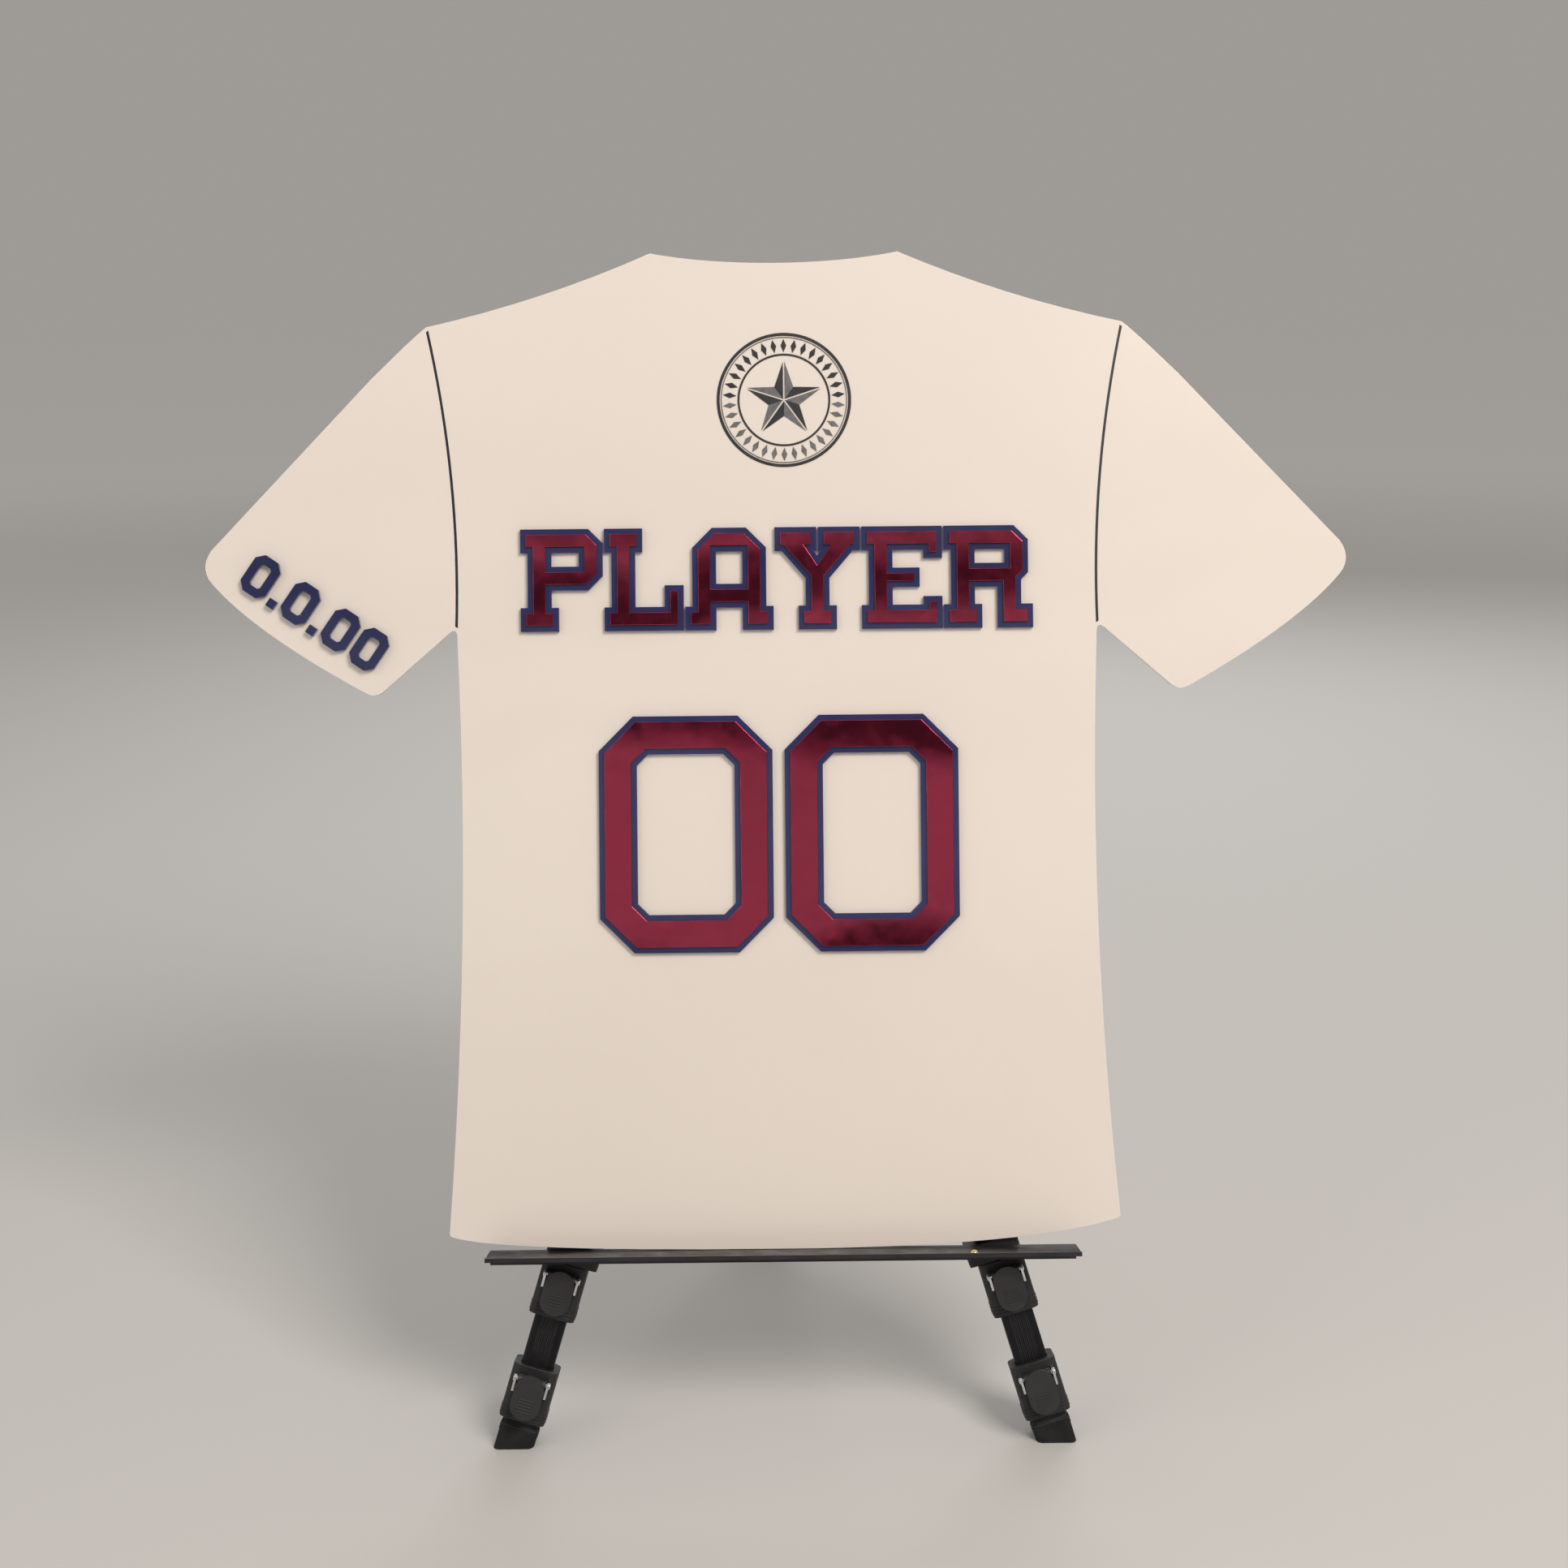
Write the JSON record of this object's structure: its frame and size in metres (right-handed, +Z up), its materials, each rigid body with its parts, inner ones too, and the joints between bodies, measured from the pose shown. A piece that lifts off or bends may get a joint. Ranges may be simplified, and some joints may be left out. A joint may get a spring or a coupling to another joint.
{
  "type": "jersey display sign on folding easel",
  "caption": "Jersey-shaped acrylic display sign with layered lettering, standing on the ledge of a folding tripod easel with telescopic legs and flip locks.",
  "frame": {"origin": "centre of the object's box on the surface that the three feet stand on", "axes": "+X to the right seen from the front, -Y the front that the lettering faces, +Z up"},
  "size_m": [0.7626, 0.388, 0.7788],
  "materials": {
    "white_acrylic": "polished, glossy",
    "seam_paint": "satin paint in an engraved groove",
    "blue_acrylic": "polished",
    "red_mirror_acrylic": "mirrored crimson acrylic",
    "navy_acrylic": "polished",
    "badge_print": "printed vinyl",
    "black_aluminium": "black anodised, fine flutes",
    "collar_plastic": "moulded, fine texture",
    "lever_plastic": "moulded, satin",
    "glide_plastic": "moulded",
    "foot_rubber": "matte",
    "chrome_hardware": "bright plated steel",
    "ledge_paint": "satin black",
    "brass_screw": "polished"
  },
  "bodies": {
    "hub": {"hub": "collar_plastic", "hub_pins": "chrome_hardware", "mast_lock_hardware": "chrome_hardware"},
    "mast": {"mast_tube": "black_aluminium", "mast_stop": "glide_plastic", "clamp_block": "collar_plastic"},
    "clamp_knob": {"clamp_knob": "lever_plastic"},
    "mast_lever": {"mast_lock_lever": "lever_plastic"},
    "right_upper_leg": {"right_knuckle": "collar_plastic", "right_outer_tube": "black_aluminium", "right_upper_collar": "collar_plastic", "right_upper_hardware": "chrome_hardware", "ledge_pivot_block": "collar_plastic", "ledge_pivot_screw": "brass_screw"},
    "right_upper_lever": {"right_upper_lever": "lever_plastic"},
    "right_middle_leg": {"right_middle_tube": "black_aluminium", "right_middle_glide": "glide_plastic", "right_lower_collar": "collar_plastic", "right_lower_hardware": "chrome_hardware"},
    "right_lower_lever": {"right_lower_lever": "lever_plastic"},
    "right_lower_leg": {"right_inner_tube": "black_aluminium", "right_inner_glide": "glide_plastic", "right_foot": "foot_rubber"},
    "left_upper_leg": {"left_knuckle": "collar_plastic", "left_outer_tube": "black_aluminium", "left_upper_collar": "collar_plastic", "left_upper_hardware": "chrome_hardware", "ledge_peg_block": "collar_plastic"},
    "left_upper_lever": {"left_upper_lever": "lever_plastic"},
    "left_middle_leg": {"left_middle_tube": "black_aluminium", "left_middle_glide": "glide_plastic", "left_lower_collar": "collar_plastic", "left_lower_hardware": "chrome_hardware"},
    "left_lower_lever": {"left_lower_lever": "lever_plastic"},
    "left_lower_leg": {"left_inner_tube": "black_aluminium", "left_inner_glide": "glide_plastic", "left_foot": "foot_rubber"},
    "rear_upper_leg": {"rear_knuckle": "collar_plastic", "rear_outer_tube": "black_aluminium", "rear_upper_collar": "collar_plastic", "rear_upper_hardware": "chrome_hardware"},
    "rear_upper_lever": {"rear_upper_lever": "lever_plastic"},
    "rear_middle_leg": {"rear_middle_tube": "black_aluminium", "rear_middle_glide": "glide_plastic", "rear_lower_collar": "collar_plastic", "rear_lower_hardware": "chrome_hardware"},
    "rear_lower_lever": {"rear_lower_lever": "lever_plastic"},
    "rear_lower_leg": {"rear_inner_tube": "black_aluminium", "rear_inner_glide": "glide_plastic", "rear_foot": "foot_rubber"},
    "ledge": {"ledge_bar": "ledge_paint", "ledge_stud": "brass_screw"},
    "panel": {"jersey_panel": "white_acrylic", "seam_paint": "seam_paint", "name_base": "blue_acrylic", "name_face": "red_mirror_acrylic", "number_base": "blue_acrylic", "number_face": "red_mirror_acrylic", "date_digits": "navy_acrylic", "emblem_print": "badge_print"}
  },
  "joints": [
    {"name": "mast_slide", "type": "slide", "parent": "hub", "child": "mast", "axis": [0, 0.2419, 0.9703], "range_m": [0, 0.3]},
    {"name": "clamp_knob_turn", "type": "hinge", "parent": "mast", "child": "clamp_knob", "pos_m": [0.017, -0.0176, 0.56441], "axis": [1, 0, 0], "continuous": true},
    {"name": "mast_lever_flip", "type": "hinge", "parent": "hub", "child": "mast_lever", "pos_m": [0, -0.00948, 0.54074], "axis": [1, 0, 0], "range_deg": [0, 80]},
    {"name": "right_leg_fold", "type": "hinge", "parent": "hub", "child": "right_upper_leg", "pos_m": [0.024, -0.04793, 0.51426], "axis": [0, 0.9703, -0.2419], "range_deg": [0, 16.6]},
    {"name": "right_upper_lever_flip", "type": "hinge", "parent": "right_upper_leg", "child": "right_upper_lever", "pos_m": [0.14786, -0.16581, 0.11545], "axis": [-0.9583, -0.0691, -0.2772], "range_deg": [0, 80]},
    {"name": "right_middle_slide", "type": "slide", "parent": "right_upper_leg", "child": "right_middle_leg", "axis": [0.2857, -0.2318, -0.9299], "range_m": [-0.034, 0.3]},
    {"name": "right_lower_lever_flip", "type": "hinge", "parent": "right_middle_leg", "child": "right_lower_lever", "pos_m": [0.16843, -0.18251, 0.0485], "axis": [-0.9583, -0.0691, -0.2772], "range_deg": [0, 80]},
    {"name": "right_lower_slide", "type": "slide", "parent": "right_middle_leg", "child": "right_lower_leg", "axis": [0.2857, -0.2318, -0.9299], "range_m": [0, 0.32]},
    {"name": "left_leg_fold", "type": "hinge", "parent": "hub", "child": "left_upper_leg", "pos_m": [-0.024, -0.04793, 0.51426], "axis": [0, 0.9703, -0.2419], "range_deg": [-16.6, 0]},
    {"name": "left_upper_lever_flip", "type": "hinge", "parent": "left_upper_leg", "child": "left_upper_lever", "pos_m": [-0.14786, -0.16581, 0.11545], "axis": [-0.9583, 0.0691, 0.2772], "range_deg": [0, 80]},
    {"name": "left_middle_slide", "type": "slide", "parent": "left_upper_leg", "child": "left_middle_leg", "axis": [-0.2857, -0.2318, -0.9299], "range_m": [-0.034, 0.3]},
    {"name": "left_lower_lever_flip", "type": "hinge", "parent": "left_middle_leg", "child": "left_lower_lever", "pos_m": [-0.16843, -0.18251, 0.0485], "axis": [-0.9583, 0.0691, 0.2772], "range_deg": [0, 80]},
    {"name": "left_lower_slide", "type": "slide", "parent": "left_middle_leg", "child": "left_lower_leg", "axis": [-0.2857, -0.2318, -0.9299], "range_m": [0, 0.32]},
    {"name": "rear_leg_fold", "type": "hinge", "parent": "hub", "child": "rear_upper_leg", "pos_m": [0, -0.01833, 0.49245], "axis": [-1, 0, 0], "range_deg": [0, 36.27]},
    {"name": "rear_upper_lever_flip", "type": "hinge", "parent": "rear_upper_leg", "child": "rear_upper_lever", "pos_m": [0, 0.16289, 0.09818], "axis": [1, 0, 0], "range_deg": [0, 80]},
    {"name": "rear_middle_slide", "type": "slide", "parent": "rear_upper_leg", "child": "rear_middle_leg", "axis": [0, 0.3798, -0.9251], "range_m": [-0.0133, 0.3]},
    {"name": "rear_lower_lever_flip", "type": "hinge", "parent": "rear_middle_leg", "child": "rear_lower_lever", "pos_m": [0, 0.18237, 0.05074], "axis": [1, 0, 0], "range_deg": [0, 80]},
    {"name": "rear_lower_slide", "type": "slide", "parent": "rear_middle_leg", "child": "rear_lower_leg", "axis": [0, 0.3798, -0.9251], "range_m": [0, 0.32]},
    {"name": "ledge_pivot", "type": "hinge", "parent": "right_upper_leg", "child": "ledge", "pos_m": [0.12802, -0.16488, 0.12787], "axis": [0, 0.9703, -0.2419], "range_deg": [-16.6, 0]},
    {"name": "panel_lift_off", "type": "slide", "parent": "ledge", "child": "panel", "axis": [0, 0.2419, 0.9703], "range_m": [0, 0.7]}
  ],
  "couplings": [
    {"joint": "left_leg_fold", "follows": "right_leg_fold", "ratio": -1},
    {"joint": "ledge_pivot", "follows": "right_leg_fold", "ratio": -1}
  ]
}
